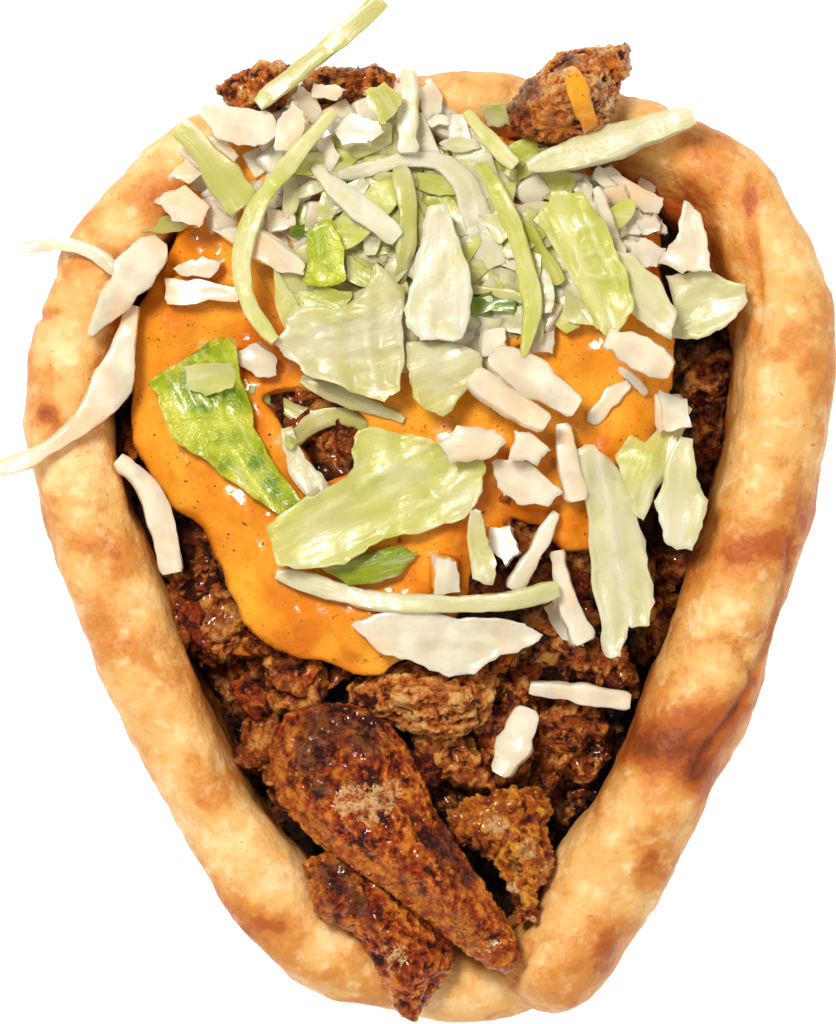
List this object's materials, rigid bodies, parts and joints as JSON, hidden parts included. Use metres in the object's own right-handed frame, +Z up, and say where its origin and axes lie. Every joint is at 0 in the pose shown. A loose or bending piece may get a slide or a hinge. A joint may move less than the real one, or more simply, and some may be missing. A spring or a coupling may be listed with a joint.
{
  "type": "doner kebab sandwich",
  "caption": "Thick flatbread folded into a pocket, filled with shaved browned meat, orange sauce, shredded cabbage and diced onion.",
  "frame": {"origin": "centre of the flat patch under the bread that the sandwich rests on", "axes": "+X to the right, +Y to the wide end of the pocket, +Z up out of its mouth, which faces up"},
  "size_m": [0.1514, 0.1857, 0.0713],
  "materials": {
    "bread": "matte baked crust",
    "meat": "browned, slightly greasy",
    "sauce": "wet and glossy",
    "cabbage": "crisp, slightly glossy",
    "green_leaf": "crisp, slightly glossy",
    "onion": "moist, translucent look"
  },
  "bodies": {
    "root": {"flatbread": "bread", "meat_heap": "meat", "meat_slice_low": "meat", "meat_chunk_middle": "meat", "meat_fatty_piece": "meat", "meat_slice_long": "meat", "meat_piece_back": "meat", "meat_chunk_back_left": "meat", "meat_chunk_back": "meat", "sauce": "sauce", "salad_heap": "cabbage", "cabbage_leaf_bottom": "cabbage", "cabbage_strip_hole": "cabbage", "cabbage_leaf_pale": "cabbage", "cabbage_leaf_right_long": "cabbage", "cabbage_leaf_yellow": "cabbage", "cabbage_rib_right": "cabbage", "cabbage_leaf_curl": "cabbage", "cabbage_leaf_far_right": "cabbage", "cabbage_leaf_veiled": "cabbage", "cabbage_leaf_ribbed": "cabbage", "cabbage_leaf_big": "cabbage", "cabbage_rib_centre_low": "cabbage", "cabbage_rib_centre": "cabbage", "cabbage_strip_bright": "cabbage", "strip_right_low": "cabbage", "strip_right_upright": "cabbage", "strip_centre_slant": "cabbage", "strip_left_low": "cabbage", "strip_left_long": "cabbage", "strip_left_thin": "cabbage", "cabbage_rib_left": "cabbage", "strip_bottom": "cabbage", "strip_centre_upright": "cabbage", "rib_middle_under": "cabbage", "rib_middle": "cabbage", "rib_right": "cabbage", "cabbage_strip_green_left": "cabbage", "strip_top_upright": "cabbage", "rib_right_slant": "cabbage", "strip_top": "cabbage", "strip_curl": "cabbage", "green_pepper_slice": "green_leaf", "cabbage_leaf_green": "green_leaf", "onion_slice_right": "onion", "onion_petal_middle": "onion", "onion_dice_centre": "onion", "onion_dice_right": "onion", "onion_petal_right": "onion", "onion_slice_low": "onion"}
  },
  "joints": []
}
